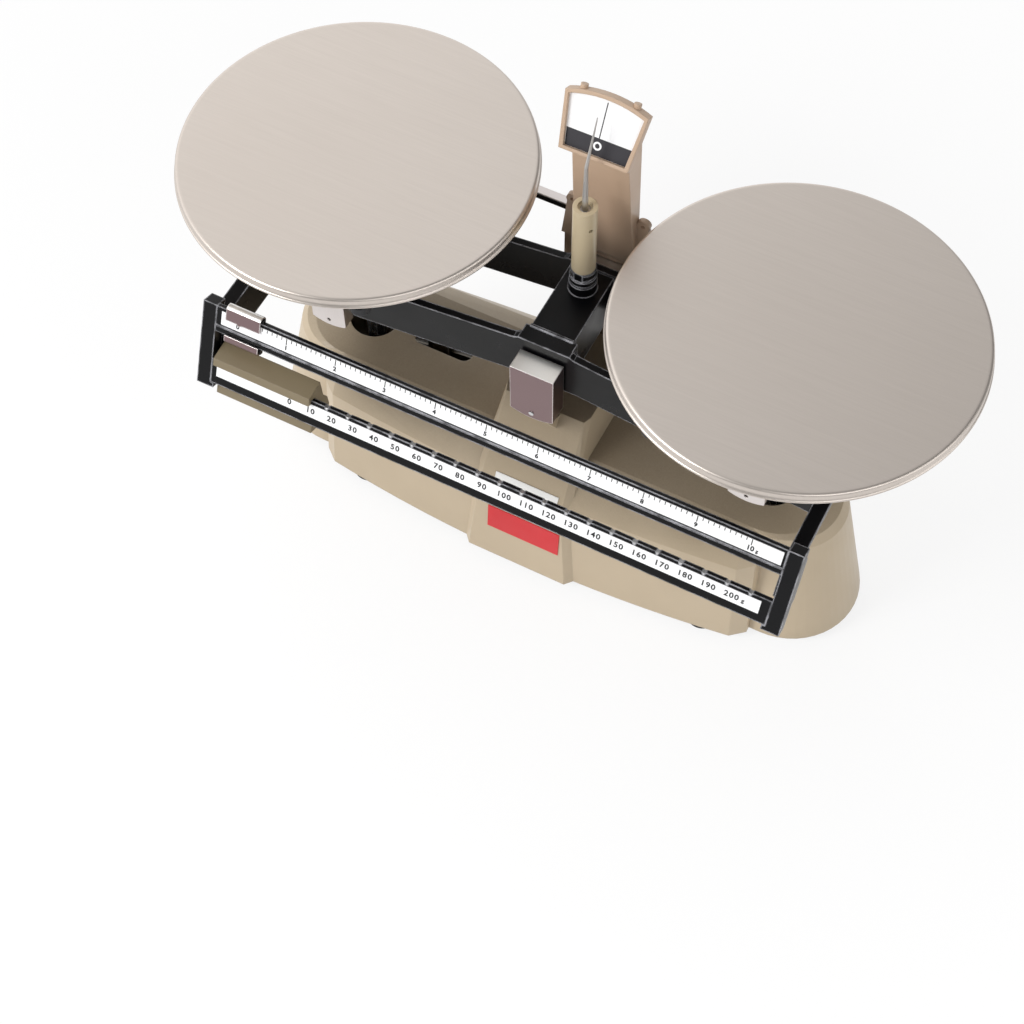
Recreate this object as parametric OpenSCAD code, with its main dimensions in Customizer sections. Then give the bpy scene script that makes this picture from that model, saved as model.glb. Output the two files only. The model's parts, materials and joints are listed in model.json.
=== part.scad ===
// Two-pan trip balance with two front poise bars, knife-edge beam and check rod.
// X runs along the beam to the right, Y to the back, Z up. The table is z = 0.

/* [Overall] */
// Distance between the pan centres, which hang on the end knife edges
pan_pitch = 199; // [194:1:206]
// Height of the pan tops above the table
pan_top = 186; // [182:1:194]
// Height of the knife edges above the table
knife_z = 124; // [122:0.5:126]

/* [Pans] */
// Diameter of a pan
pan_d = 152; // [140:1:156]
// Thickness of the pan sheet
pan_sheet = 0.8; // [0.6:0.1:1.2]
// Height of the pan's turned-down rim
pan_rim = 5; // [4:0.5:7]
// How far the rolled bead stands out at the foot of the rim
pan_bead = 0.7; // [0.4:0.1:1.2]

/* [Base casting] */
// Height of the feet under the casting
foot_h = 5; // [3:0.5:8]
// Radius of a foot
foot_r = 8; // [6:0.5:10]
// Height of the deck above the table
deck_z = 74; // [71:1:76]
// Half depth of the deck
deck_half = 24.3; // [23.5:0.1:26]
// Wall thickness of the casting
base_wall = 3; // [2.5:0.25:3.5]
// Distance from the middle to the centre of each rounded end
end_x = 115.4; // [112:0.5:118]
// Radius of a rounded end at the bottom
end_r = 33.2; // [32:0.1:35]
// Half length of the bowed front wall
body_half = 103.8; // [98:0.2:106]
// Half depth of the bowed wall in the middle, at the bottom
body_mid = 49; // [47:0.5:51]
// Half depth of the bowed wall at its ends, at the bottom
body_end = 41.5; // [40:0.5:43]
// Height of the crease where the bowed wall turns in to the deck
bend_z = 59; // [54:1:62]
// How far the bowed wall leans in below that crease
draft = 4.5; // [3:0.5:6]

/* [Front boss and pedestal] */
// Half width of the boss at the bottom
boss_half = 28.4; // [27:0.2:30]
// Half width of the pedestal at the top
pedestal_half = 20.5; // [19:0.5:22]
// How far the boss reaches forward at the bottom
boss_y = 52; // [51:0.5:54]
// Height of the pedestal top
pedestal_z = 97; // [94:0.5:98]

/* [Centre bearings] */
// Width of a bearing tower
tower_w = 15; // [14:0.5:17]
// Depth of a bearing tower
tower_d = 7.8; // [7:0.2:8.6]
// Width of a centre bearing cover
cover_w = 20.4; // [19.6:0.2:22]
// Height of a centre bearing cover
cover_h = 31.7; // [30:0.5:33]

/* [Beam] */
// Half length of the beam casting
beam_half = 128.6; // [126:0.2:131]
// Half depth of the beam casting
beam_y = 25; // [24:0.5:25.5]
// Thickness of the beam's long walls
beam_t = 3.5; // [3:0.25:4.5]
// Height of the beam walls
beam_h = 23; // [21:0.5:25]
// Fall of the beam walls towards the ends, in degrees
beam_droop = 7.2; // [6:0.2:8]
// Half width of the cross block
block_half = 10; // [9:0.5:11]

/* [Scale panel] */
// Lean of the two bars from the vertical, in degrees
panel_tilt = 22; // [18:1:26]
// Height of the panel's top edge above the table
panel_z = 146.7; // [144:0.5:149]
// Distance of the panel's top edge in front of the pan centres
panel_y = 70.6; // [68:0.5:74]
// Width of a post
post_w = 6.6; // [5.6:0.2:7.4]
// Depth of a post
post_d = 6.5; // [5.5:0.25:7.5]
// Length of a post
post_l = 41.8; // [41:0.2:44]
// Height of the upper bar
upper_h = 12.8; // [12:0.2:13.4]
// Height of the lower bar
lower_h = 12.6; // [12:0.2:13.2]
// Thickness of both bars
bar_t = 2.4; // [2:0.1:3]
// Distance from the panel's top edge down to the lower bar
lower_s = 26.6; // [26:0.2:28]
// Distance from one notch to the next on the lower bar
notch_pitch = 10.26; // [9.8:0.02:10.3]

/* [Poises] */
// Length of the small poise
small_l = 16.5; // [14:0.5:18]
// Sheet thickness of the small poise
small_t = 0.6; // [0.5:0.1:0.8]
// Length of the large poise
large_l = 47.2; // [44:0.2:47.4]
// How far the large poise hangs below the lower bar
large_drop = 6.3; // [4:0.5:8]

/* [Pointer and dial] */
// Radius of the zero-adjust sleeve
sleeve_r = 5.2; // [5:0.05:6]
// Height of the zero-adjust sleeve
sleeve_h = 38.4; // [36:0.2:44]
// Height of the pointer tip above the table
tip_z = 238; // [232:1:240]
// Lean of the dial from the vertical, in degrees
dial_tilt = 28; // [22:1:32]
// Height of the dial face along its slope
dial_h = 22.6; // [20:0.2:24]
// Half width of the dial head at the bottom
head_half = 15.2; // [14.5:0.1:16]

/* [Pan suspension] */
// Width of a yoke cheek
cheek_w = 14; // [13:0.5:15]
// Thickness of a yoke cheek
cheek_t = 6.5; // [6:0.25:7.5]
// Radius of a stem
stem_r = 4; // [3.5:0.25:4.5]
// Height of the check rod's pivots above the table
rod_z = 32; // [30:0.5:36]
// Radius of the check rod's pins
rod_pin_r = 2; // [1.75:0.25:2.25]

/* [Hidden] */
$fn = 64;

// Clearances that are used in more than one place
gap = 0.4;
turn_gap = 0.05;
loose_gap = 0.3;
over = 1;
slab = 0.02;

// Places worked out from the sizes above
pan_x = pan_pitch / 2;
pan_r = pan_d / 2;
front_reach = panel_y + post_l * sin(panel_tilt);
back_reach = pan_r - pan_sheet + 2 * pan_bead;
centre_y = (front_reach - back_reach) / 2;
bottom_z = foot_h;

// Base casting levels
flank_drop = 6;
flank_r = deck_half + 1;
flank_in = 5.4;
shoulder_drop = 1.5;
shoulder_r = deck_half + 0.7;
shoulder_in = 8.4;
deck_in = 12.4;
crease_half = body_half - 2.3;
brow_drop = 5;
brow_mid = deck_half + 11;
brow_end = deck_half + 8.2;
chamfer_x = 6.5;
chamfer_y = 5.5;
boss_bend_y = boss_y - 4.4;
boss_bend_z = bend_z - 2;
boss_chamfer = 4;
pedestal_y = 23;
seat_z = deck_z - 2;
seat_y = body_mid - draft + 0.5;
foot_boss_r = 5;
foot_x = body_half - 15.8;
foot_y = body_mid - base_wall - (body_mid - body_end) * pow(foot_x / body_half, 2) - foot_boss_r - 0.6;
foot_boss_top = 28;
column_screw_x = 17;
column_screw_y = 34;
screw_r = 1.8;
plate_t = 1.5;
plate_in = base_wall + 1;
label_t = 0.4;
model_x = [-13.6, 17.5];
model_up = 0.4;
model_h = 7.5;
red_x = [-15.3, 20.7];
red_up = 21.4;
red_h = 15.6;
stem_hole_r = stem_r + 7.5;
slot_in = 49;
slot_out = 78;
slot_half = 4;

// Centre bearings and knives
tower_in = beam_y + 2;
tower_out = tower_in + tower_d;
tower_top = knife_z + 3;
block_w = 10;
block_low = knife_z - 7;
knife_h = 7;
knife_half = 4;
knife_out = tower_out - 0.5;
cover_t = 1.2;
cover_in = beam_y + 1;
cover_out = tower_out + cover_t;
cover_top = knife_z + 13;
cover_low = cover_top - cover_h;
cover_bow = 2.2;
cover_pin_z = cover_low + 3.5;
pin_r = 0.9;

// Beam
beam_top = knife_z + 17;
rib_half = 12;
rib_up = 2;
flat_half = 20;
flat_d = 8;
block_top = beam_top + 1;
block_base = knife_z + 1;
window_fillet = 8;
boss_r = 6.2;
spindle_y = 11.8;
spindle_r = 2.15;
sleeve_z = block_top + 14;
sleeve_top = sleeve_z + sleeve_h;
bridge_t = 3.5;
counterweight_low = 18.3;
end_boss_r = 8.5;
end_boss_in = beam_y - beam_t - 1.5;

// Panel, in a frame whose z runs up the panel and whose y runs to the back
panel_half = beam_half + 1.7;
upper_top = 0.3;
strip_t = 0.3;
upper_strip_top = -1.3;
upper_strip_h = 6.6;
lower_strip_h = 6.5;
lower_strip_drop = 1.8;
ridge_s = 9.3;
notch_zero = 35.89 - panel_half;
notch_count = floor((panel_half - 8 - notch_zero) / notch_pitch) + 1;
notch_depth = 1.7;
post_foot = 1.5;
post_foot_h = 2.3;

// Arms and rear bar
arm_top = knife_z + 13.5;
arm_h = 20;
arm_t = 2.3;
arm_w = 6.6;
rear_in = 45.7;
rear_out = 49.7;
rear_z = panel_z - 0.7;
rear_h = 3.7;
rear_strip = 0.4;

// Poises
small_zero = 11.9 - panel_half;
small_right = small_zero + 9.9;
small_top = 3;
small_low = upper_top - upper_h - 3.5;
core_out = 0.8;
large_right = notch_zero + 13.4;
large_low = -lower_s - lower_h - large_drop;

// Pan suspension
bridge_h = 5;
hub_h = 6;
hub_r = 8;
cheek_in = beam_y + 3;
cheek_out = cheek_in + cheek_t;
cheek_top = pan_top - 14;
end_block_w = 9;
end_block_top = knife_z + 8;
end_cover_bow = 2;
end_cover_top = knife_z + 10;
end_cover_h = 23;
cheek_low = end_cover_top - end_cover_h + 1;
spider_hub_r = 15;
spider_t = 4;
spider_z = cheek_top;
spider_arm_w = 9;
spider_root_w = 15;
spider_reach = pan_r - pan_sheet - 2;
button_r = 5;
button_at = pan_r - 18;
rod_t = 4;
rod_half = 4;
rod_eye_r = 6;
fork_half = 6;
fork_gap = 0.4;
fork_low = rod_z - rod_eye_r - 2;
fork_top = rod_z + rod_eye_r + 1.6;

// Column and dial head
column_back = 41;
column_back_top = 36.5;
column_t = 2;
column_top = tip_z - 20;
column_front_top = 24.4;
column_front_low = 33;
column_break = block_top + 1;
leg_in = cover_w / 2 + 0.8;
leg_half = leg_in + 3;
column_half_top = 12.3;
rear_plate_t = 2.5;
lug_z = column_break + 23;
lug_x = 16.4;
dial_y = 17.8;
dial_z = tip_z - 20;
head_rise = 3.2;
head_flare = 2.8;
head_rim = 1.7;
head_lip = 1.5;
head_backing = 1.4;
head_depth = 4.6;
dial_sink = 1.6;
dial_t = 0.8;
lug_r = 1.6;
lug_at = 11.5;
lug_back = 2.8;
lug_up = 0.4;

// Bowed outline with its corners cut back, front and rear alike
function bow(half, mid, end) =
    [for (i = [-8 : 8]) [half * i / 8, -mid + (mid - end) * pow(i / 8, 2)]];
function body_outline(half, mid, end, cut) = concat(
    [[-half - chamfer_x, -end + cut]], bow(half, mid, end), [[half + chamfer_x, -end + cut]],
    [[half + chamfer_x, end - cut]], [for (p = bow(half, mid, end)) [-p[0], -p[1]]],
    [[-half - chamfer_x, end - cut]]);

// The whole part moved so that its box is centred on the origin, front to back
module placed() translate([0, centre_y, 0]) children();
// The panel's frame, which leans back
module panel() translate([0, -panel_y, panel_z]) rotate([-panel_tilt, 0, 0]) children();

// A bar along Y, drawn as a polygon in X and Z, from y0 to y1
module along_y(y0, y1) translate([0, y1, 0]) rotate([90, 0, 0]) linear_extrude(y1 - y0) children();
// A bar along X, drawn as a polygon in Y and Z, from x0 to x1
module along_x(x0, x1) translate([x0, 0, 0]) rotate([90, 0, 90]) linear_extrude(x1 - x0) children();
module box(x, y, z) translate([x[0], y[0], z[0]]) cube([x[1] - x[0], y[1] - y[0], z[1] - z[0]]);
module pin_y(x, z, r, y0, y1) translate([x, y1, z]) rotate([90, 0, 0]) cylinder(r = r, h = y1 - y0);
module round_rect(x, y, r) {
    translate([x[0] + r, y[0]]) square([x[1] - x[0] - 2 * r, y[1] - y[0]]);
    translate([x[0], y[0] + r]) square([x[1] - x[0], y[1] - y[0] - 2 * r]);
    for (px = [x[0] + r, x[1] - r], py = [y[0] + r, y[1] - r]) translate([px, py]) circle(r);
}

// Base casting
module end_level(x, r, z) translate([x, 0, z]) cylinder(r = r, h = slab, $fn = 48);
module base_ends(inset) hull() for (sx = [-1, 1]) {
    end_level(sx * end_x, end_r - inset, bottom_z - (inset > 0 ? over : 0));
    end_level(sx * (end_x - flank_in), flank_r - inset, deck_z - flank_drop - inset / 2);
    end_level(sx * (end_x - shoulder_in), shoulder_r - inset, deck_z - shoulder_drop - inset);
    end_level(sx * (end_x - deck_in), deck_half - inset, deck_z - slab - inset);
}
module body_level(half, mid, end, cut, z) translate([0, 0, z]) linear_extrude(slab)
    polygon(body_outline(half, mid, end, cut));
module base_body(inset) hull() {
    body_level(body_half, body_mid - inset, body_end - inset, chamfer_y,
        bottom_z - (inset > 0 ? over : 0));
    body_level(crease_half, body_mid - draft - inset, body_end - draft * 2 / 3 - inset, chamfer_y,
        bend_z - inset / 2);
    body_level(crease_half, brow_mid - inset, brow_end - inset, chamfer_y, deck_z - brow_drop - inset / 2);
    body_level(crease_half, deck_half - inset, deck_half - inset, 4, deck_z - slab - inset);
}
// Plan of the boss or pedestal, its front corners cut back
module pedestal_level(half, in, front, back, z) translate([0, 0, z]) linear_extrude(slab)
    polygon([[-half, back], [-half, boss_chamfer - front], [in - half, -front], [half - in, -front],
        [half, boss_chamfer - front], [half, back]]);
module pedestal(inset) hull() {
    pedestal_level(boss_half - inset, 3.5, boss_y - inset, pedestal_y,
        bottom_z - (inset > 0 ? over : 0));
    pedestal_level(pedestal_half + 3.8 - inset, 4.1, boss_bend_y - inset, pedestal_y, boss_bend_z);
    pedestal_level(pedestal_half - inset, 1.5, pedestal_y - inset, pedestal_y - inset,
        pedestal_z - slab - inset);
}
module bearing_tower() difference() {
    along_x(-tower_w / 2, tower_w / 2) polygon([[-tower_out, tower_top], [-tower_in, tower_top],
        [-tower_in, pedestal_z + 1], [-pedestal_y + 3, pedestal_z - 3], [-pedestal_y + 3, pedestal_z - 9],
        [-tower_in + 0.5, pedestal_z - 7.5], [-tower_out, cover_low - 0.8]]);
    box([-block_w / 2, block_w / 2], [-tower_out - over, -tower_in + over], [block_low, tower_top + over]);
    pin_y(0, cover_pin_z, pin_r, -tower_out - over, -tower_in - 2);
}
module base_casting() color("#9c8f74") placed() difference() {
    union() {
        difference() {
            union() {
                base_ends(0);
                base_body(0);
                pedestal(0);
                box([-24, 24], [pedestal_y, seat_y], [bend_z - 8, seat_z]);
                for (a = [0, 180]) rotate(a) bearing_tower();
            }
            base_ends(base_wall);
            base_body(base_wall);
            pedestal(base_wall);
        }
        for (sx = [-1, 1], sy = [-1, 1]) translate([sx * foot_x, sy * foot_y, bottom_z + plate_t])
            cylinder(r = foot_boss_r, h = foot_boss_top - bottom_z - plate_t);
        for (sx = [-1, 1]) translate([sx * column_screw_x, column_screw_y, seat_z - 12]) cylinder(r = 4, h = 12);
    }
    for (sx = [-1, 1]) {
        translate([sx * pan_x, 0, deck_z - base_wall - over])
            cylinder(r = stem_hole_r, h = base_wall + 2 * over);
        translate([0, 0, deck_z - base_wall - over]) linear_extrude(base_wall + 2 * over)
            round_rect(sx > 0 ? [slot_in, slot_out] : [-slot_out, -slot_in],
                [-slot_half, slot_half], slot_half - 0.01);
        for (sy = [-1, 1]) translate([sx * foot_x, sy * foot_y, bottom_z])
            cylinder(r = screw_r, h = foot_boss_top - bottom_z - 4);
        translate([sx * column_screw_x, column_screw_y, seat_z - 9]) cylinder(r = screw_r, h = 9 + over);
    }
}

module bottom_plate() color("#5b5b58") placed() difference() {
    translate([0, 0, bottom_z]) linear_extrude(plate_t) {
        square([2 * end_x, 2 * (end_r - plate_in)], center = true);
        for (sx = [-1, 1]) translate([sx * end_x, 0]) circle(end_r - plate_in);
        polygon(body_outline(body_half - gap, body_mid - plate_in, body_end - plate_in, chamfer_y));
        translate([-boss_half + 2 * plate_in, -boss_y + plate_in]) square([2 * boss_half - 4 * plate_in, boss_y]);
    }
    for (sx = [-1, 1], sy = [-1, 1]) translate([sx * foot_x, sy * foot_y, bottom_z - over])
        cylinder(r = screw_r, h = plate_t + 2 * over);
    for (sx = [-1, 1]) translate([sx * 15, 0, bottom_z - over])
        cylinder(r = screw_r, h = plate_t + 2 * over);
}

module feet() color("#26262a") placed() for (sx = [-1, 1], sy = [-1, 1])
    translate([sx * foot_x, sy * foot_y, 0]) difference() {
        rotate_extrude() polygon([[0, 0], [foot_r - 1.5, 0], [foot_r - 0.5, foot_h * 0.3],
            [foot_r, foot_h], [0, foot_h]]);
        translate([0, 0, -over]) cylinder(r = screw_r, h = foot_h + 2 * over);
        translate([0, 0, -over]) cylinder(r = 4, h = over + foot_h / 2);
    }

module foot_screws() color("#b9bbbe") placed() for (sx = [-1, 1], sy = [-1, 1])
    translate([sx * foot_x, sy * foot_y, 0]) {
        translate([0, 0, foot_h / 2 - 1.6]) cylinder(r = 3.4, h = 1.6);
        translate([0, 0, foot_h / 2]) cylinder(r = screw_r, h = foot_boss_top - 4 - foot_h / 2);
    }

// Plates on the two front faces of the boss: ends, lower edge and height up the face
module on_face(y0, z0, y1, z1, x, at, h) let (a = atan2(y0 - y1, z1 - z0))
    translate([0, -y0, z0]) rotate([-a, 0, 0]) box(x, [-label_t - slab, -slab], [at, at + h]);
module model_plate() color("white") placed()
    on_face(boss_bend_y, boss_bend_z, pedestal_y, pedestal_z, model_x, model_up, model_h);
module red_plate() color("#d8232a") placed()
    on_face(boss_y, bottom_z, boss_bend_y, boss_bend_z, red_x, red_up, red_h);

// Vee bearings of the centre knife, let into the tower tops
module centre_bearings() color("#c9ccd0") placed() for (a = [0, 180]) rotate(a)
    along_y(-tower_out + 0.3, -tower_in)
        polygon([[-block_w / 2, block_low], [block_w / 2, block_low], [block_w / 2, tower_top],
            [block_w / 2 - 0.2, tower_top], [0, knife_z - turn_gap], [-block_w / 2 + 0.2, tower_top],
            [-block_w / 2, tower_top]]);

// Cap with a bowed lower edge, its open side towards the beam
module cap(w, low, top, inner, outer, bow_h, lid) difference() {
    along_y(-outer, -inner) intersection() {
        translate([-w / 2, low - over]) square([w, top - low + over]);
        let (r = (w * w / 4 + bow_h * bow_h) / (2 * bow_h)) union() {
            translate([0, low + r]) circle(r, $fn = 180);
            translate([-w / 2, low + bow_h]) square([w, top - low]);
        }
    }
    box([-w / 2 + cover_t, w / 2 - cover_t], [-outer + cover_t, -inner + over], [low - over, top - lid]);
    pin_y(0, low + 3.5, pin_r, -outer - over, -outer + cover_t + over);
}
module centre_cover() cap(cover_w, cover_low, cover_top, cover_in, cover_out, cover_bow, cover_t);
module front_bearing_cover() color("#b8b5b4") placed() centre_cover();
module rear_bearing_cover() color("#b8b5b4") placed() rotate(180) centre_cover();
module cover_screws() color("#e4e2e0") placed() for (a = [0, 180]) rotate(a) {
    pin_y(0, cover_pin_z, pin_r, -cover_out, -tower_in - 2);
    pin_y(0, cover_pin_z, pin_r + 0.3, -cover_out - 0.4, -cover_out);
}

// Indicator column: a channel with a leaning front, on two legs beside the rear bearing
head_back = dial_sink + dial_t + head_backing;
function on_dial(y, z) = [dial_y + y * cos(dial_tilt) + z * sin(dial_tilt),
    dial_z - y * sin(dial_tilt) + z * cos(dial_tilt)];
module column_side() polygon([[column_front_low, seat_z], [column_back, seat_z],
    [column_back, column_break - 5], [column_back_top, column_break],
    [column_back_top, column_top + 2], on_dial(head_depth + 3, dial_h * 0.6), on_dial(head_back - 0.2, dial_h * 0.6),
    on_dial(head_back - 0.2, 0.5), [column_front_top, column_top - 6],
    [column_front_low - 1.5, column_break], [column_front_low, column_break - 3]]);
module rear_plate_side() polygon([[column_back - rear_plate_t, seat_z], [column_back, seat_z],
    [column_back, column_break - 5], [column_back_top, column_break], [column_back_top, lug_z + 4],
    [column_back_top - rear_plate_t, lug_z + 4], [column_back_top - rear_plate_t, column_break - 0.5],
    [column_back - rear_plate_t, column_break - 5.5]]);
module column_front(inset) polygon([[-leg_half + inset, seat_z - over], [leg_half - inset, seat_z - over],
    [leg_half - inset, column_break], [column_half_top - inset, column_top + 8],
    [-column_half_top + inset, column_top + 8], [-leg_half + inset, column_break]]);
module head_outline(inset, low) {
    polygon([[-head_half + inset, low], [head_half - inset, low],
        [head_half + head_flare - inset, dial_h - inset], [-head_half - head_flare + inset, dial_h - inset]]);
    let (c = head_half + head_flare, r = (c * c + head_rise * head_rise) / (2 * head_rise))
        intersection() {
            translate([0, dial_h + head_rise - r]) circle(r - inset, $fn = 180);
            translate([-c + inset, dial_h - inset - 0.01]) square([2 * (c - inset), head_rise + inset]);
        }
}
module head_lugs() for (sx = [-1, 1]) translate([sx * lug_at, lug_back, dial_h + 0.6])
    cylinder(r = lug_r, h = head_rise + lug_up - 0.6);
module dial_frame() translate([0, dial_y, dial_z]) rotate([-dial_tilt, 0, 0]) children();
module indicator_column() color("#b49b82") placed() {
    difference() {
        intersection() {
            along_x(-leg_half - over, leg_half + over) column_side();
            along_y(0, column_back + over) column_front(0);
        }
        intersection() {
            translate([0, column_t, -column_t]) along_x(-leg_half, leg_half) column_side();
            along_y(0, column_back + over + column_t) column_front(column_t);
            box([-leg_half, leg_half], [0, column_back + over], [column_break, column_top + 4]);
        }
        box([-leg_in, leg_in], [0, column_back - rear_plate_t], [0, column_break - 5.5]);
        box([-leg_half - over, leg_half + over], [column_back - rear_plate_t, column_back + over],
            [0, column_break - 5.5]);
    }
    intersection() {
        along_x(-30, 30) rear_plate_side();
        along_y(0, column_back + over) difference() {
            union() {
                polygon([[-22, seat_z], [22, seat_z], [22, column_break - 6], [lug_x + 2.6, lug_z - 2],
                    [leg_half - 3, lug_z + 2], [-leg_half + 3, lug_z + 2], [-lug_x - 2.6, lug_z - 2],
                    [-22, column_break - 6]]);
                for (sx = [-1, 1]) translate([sx * lug_x, lug_z]) circle(3);
            }
            for (sx = [-1, 1]) translate([sx * lug_x, lug_z]) circle(1);
            translate([-leg_half + column_t, column_break + 4]) square([2 * (leg_half - column_t), 60]);
        }
    }
    difference() {
        for (sx = [-1, 1]) box(sx > 0 ? [leg_in, 22] : [-22, -leg_in], [column_front_low - 4, column_back],
            [seat_z, seat_z + 3]);
        for (sx = [-1, 1]) translate([sx * column_screw_x, column_screw_y, seat_z - over])
            cylinder(r = screw_r, h = 6);
    }
    dial_frame() difference() {
        along_y(0, head_depth) head_outline(0, -head_lip);
        along_y(-over, dial_sink + dial_t) head_outline(head_rim, 0);
        along_y(head_back, head_depth + over) head_outline(head_rim, 0);
        head_lugs();
    }
}
module dial_plate() color("#f4f4f2") placed() dial_frame()
    along_y(dial_sink, dial_sink + dial_t) head_outline(head_rim, 0);
module dial_screws() color("#a8917a") placed() dial_frame() head_lugs();
module column_screws() color("#b9bbbe") placed() for (sx = [-1, 1])
    translate([sx * column_screw_x, column_screw_y, seat_z]) {
        translate([0, 0, -9]) cylinder(r = screw_r, h = 12);
        translate([0, 0, 3]) cylinder(r = 2.8, h = 2);
    }

// Check rod with its bracket and pivot, inside the base
module rod_bracket() color("#6d6f72") placed() difference() {
    union() {
        box([-20, 20], [-8, 8], [bottom_z + plate_t, bottom_z + plate_t + 3]);
        for (sy = [-1, 1]) box([-6, 6], sy > 0 ? [rod_t / 2 + fork_gap, 6] : [-6, -rod_t / 2 - fork_gap],
            [bottom_z + plate_t, rod_z]);
        for (sy = [-1, 1]) pin_y(0, rod_z, 6, sy > 0 ? rod_t / 2 + fork_gap : -6,
            sy > 0 ? 6 : -rod_t / 2 - fork_gap);
    }
    pin_y(0, rod_z, rod_pin_r, -6 - over, 6 + over);
    for (sx = [-1, 1]) translate([sx * 15, 0, bottom_z]) cylinder(r = screw_r, h = 6);
}
module rod_pivot() color("#b9bbbe") placed() {
    pin_y(0, rod_z, rod_pin_r, -7.2, 7.2);
    for (sx = [-1, 1]) translate([sx * 15, 0, bottom_z]) cylinder(r = screw_r, h = plate_t + 3);
    for (sx = [-1, 1]) translate([sx * 15, 0, bottom_z + plate_t + 3]) cylinder(r = 3, h = 1.6);
}
module check_rod() color("#8c8f94") placed() difference() {
    union() {
        box([-pan_x, pan_x], [-rod_t / 2, rod_t / 2], [rod_z - rod_half, rod_z + rod_half]);
        for (x = [-pan_x, 0, pan_x]) pin_y(x, rod_z, rod_eye_r, -rod_t / 2, rod_t / 2);
    }
    pin_y(0, rod_z, rod_pin_r + turn_gap, -rod_t, rod_t);
    for (x = [-pan_x, pan_x]) pin_y(x, rod_z, rod_pin_r + loose_gap, -rod_t, rod_t);
}

// Beam casting: two falling walls, a cross block, end walls and the spindle boss
function fall(x, from) = (x - from) * tan(beam_droop);
module wall_half() polygon([[0, beam_top - beam_h], [16, beam_top - beam_h],
    [beam_half, beam_top - beam_h - fall(beam_half, 16)], [beam_half, beam_top - fall(beam_half, flat_half)],
    [flat_half, beam_top], [rib_half + 2, beam_top + rib_up - 1.2], [rib_half, beam_top + rib_up],
    [0, beam_top + rib_up]]);
module wall_outline() {
    wall_half();
    mirror([1, 0]) wall_half();
}
module centre_knife_section() polygon([[0, knife_z], [knife_half, knife_z + knife_h],
    [-knife_half, knife_z + knife_h]]);
module end_knife_section() polygon([[0, knife_z], [knife_half, knife_z - knife_h],
    [-knife_half, knife_z - knife_h]]);
// Turned boss under the zero sleeve, with two ring grooves
module spindle_boss(h) rotate_extrude() polygon([[0, -1], [boss_r, -1], [boss_r, h - 8.4], [boss_r - 0.8, h - 8],
    [boss_r - 0.8, h - 7.4], [boss_r - 0.2, h - 7], [boss_r - 0.2, h - 4.6], [boss_r - 0.9, h - 4.2],
    [boss_r - 0.9, h - 3.6], [boss_r - 0.5, h - 3.2], [boss_r - 0.5, h - 0.5], [boss_r - 1, h], [0, h]]);
module beam_casting() color("#1d1d1f") placed() difference() {
    union() {
        for (a = [0, 180]) rotate(a) along_y(-beam_y, -beam_y + beam_t) wall_outline();
        box([-block_half, block_half], [-beam_y, beam_y], [block_base - 7, block_top]);
        box([-rib_half, rib_half], [-beam_y, -beam_y + flat_d], [beam_top - beam_h, beam_top + rib_up]);
        box([-block_half, block_half], [-beam_y + flat_d - 0.6, -beam_y + flat_d + 0.6],
            [block_top - 1, beam_top + rib_up + 0.6]);
        for (m = [0, 1]) mirror([m, 0, 0]) {
            translate([block_half, -beam_y + beam_t, beam_top - beam_h]) linear_extrude(beam_h) difference() {
                square(window_fillet);
                translate([window_fillet, window_fillet]) circle(window_fillet);
            }
            intersection() {
                box([beam_half - bridge_t, beam_half], [-beam_y, beam_y], [0, beam_top]);
                along_y(-beam_y, beam_y) wall_half();
            }
            for (a = [0, 180]) rotate(a) pin_y(pan_x, knife_z - 2, end_boss_r, -beam_y, -end_boss_in);
        }
        translate([0, spindle_y, block_top]) spindle_boss(sleeve_z - block_top - gap);
    }
    box([-over * 2, over * 2], [spindle_y - boss_r - over, spindle_y - boss_r + 1.2],
        [sleeve_z - 5, sleeve_z]);
    along_y(-beam_y - over, beam_y + over) centre_knife_section();
    for (sx = [-1, 1]) translate([sx * pan_x, 0, 0]) along_y(-beam_y - over, beam_y + over) end_knife_section();
    translate([0, spindle_y, block_base + 6]) cylinder(r = spindle_r, h = sleeve_z - block_base);
    for (sx = [-1, 1], sy = [-1, 1]) translate([sx * (beam_half - bridge_t - over), sy * 15, arm_top - arm_h + 4])
        rotate([0, 90, 0]) translate([0, 0, sx > 0 ? 0 : -bridge_t - 2 * over])
            cylinder(r = screw_r, h = bridge_t + 2 * over);
}
module centre_knife() color("#d0d3d6") placed() along_y(-knife_out, knife_out) centre_knife_section();
module end_knives() color("#d0d3d6") placed() for (sx = [-1, 1], a = [0, 180])
    translate([sx * pan_x, 0, 0]) rotate(a) along_y(-cheek_out + 0.4, -end_boss_in) end_knife_section();

// Arms: angle bars along Y, with a tab that meets the back of the post
module post_back_cut() panel() box([-500, 500], [-100, post_d], [-200, 200]);
module arm() difference() {
    union() {
        box([beam_half, beam_half + arm_w], [-panel_y - 12, rear_out], [arm_top - arm_t, arm_top]);
        box([beam_half, beam_half + arm_t], [-panel_y - 12, rear_out], [arm_top - arm_h, arm_top]);
        intersection() {
            panel() box([beam_half, panel_half + post_w], [0, post_d + arm_t], [-40, 5]);
            box([0, 500], [-200, 0], [arm_top - arm_h, arm_top]);
        }
    }
    post_back_cut();
    for (sy = [-1, 1]) translate([beam_half - over, sy * 15, arm_top - arm_h + 4]) rotate([0, 90, 0])
        cylinder(r = screw_r, h = arm_t + 2 * over);
}
module right_arm() color("#1d1d1f") placed() arm();
module left_arm() color("#1d1d1f") placed() mirror([1, 0, 0]) arm();

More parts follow.
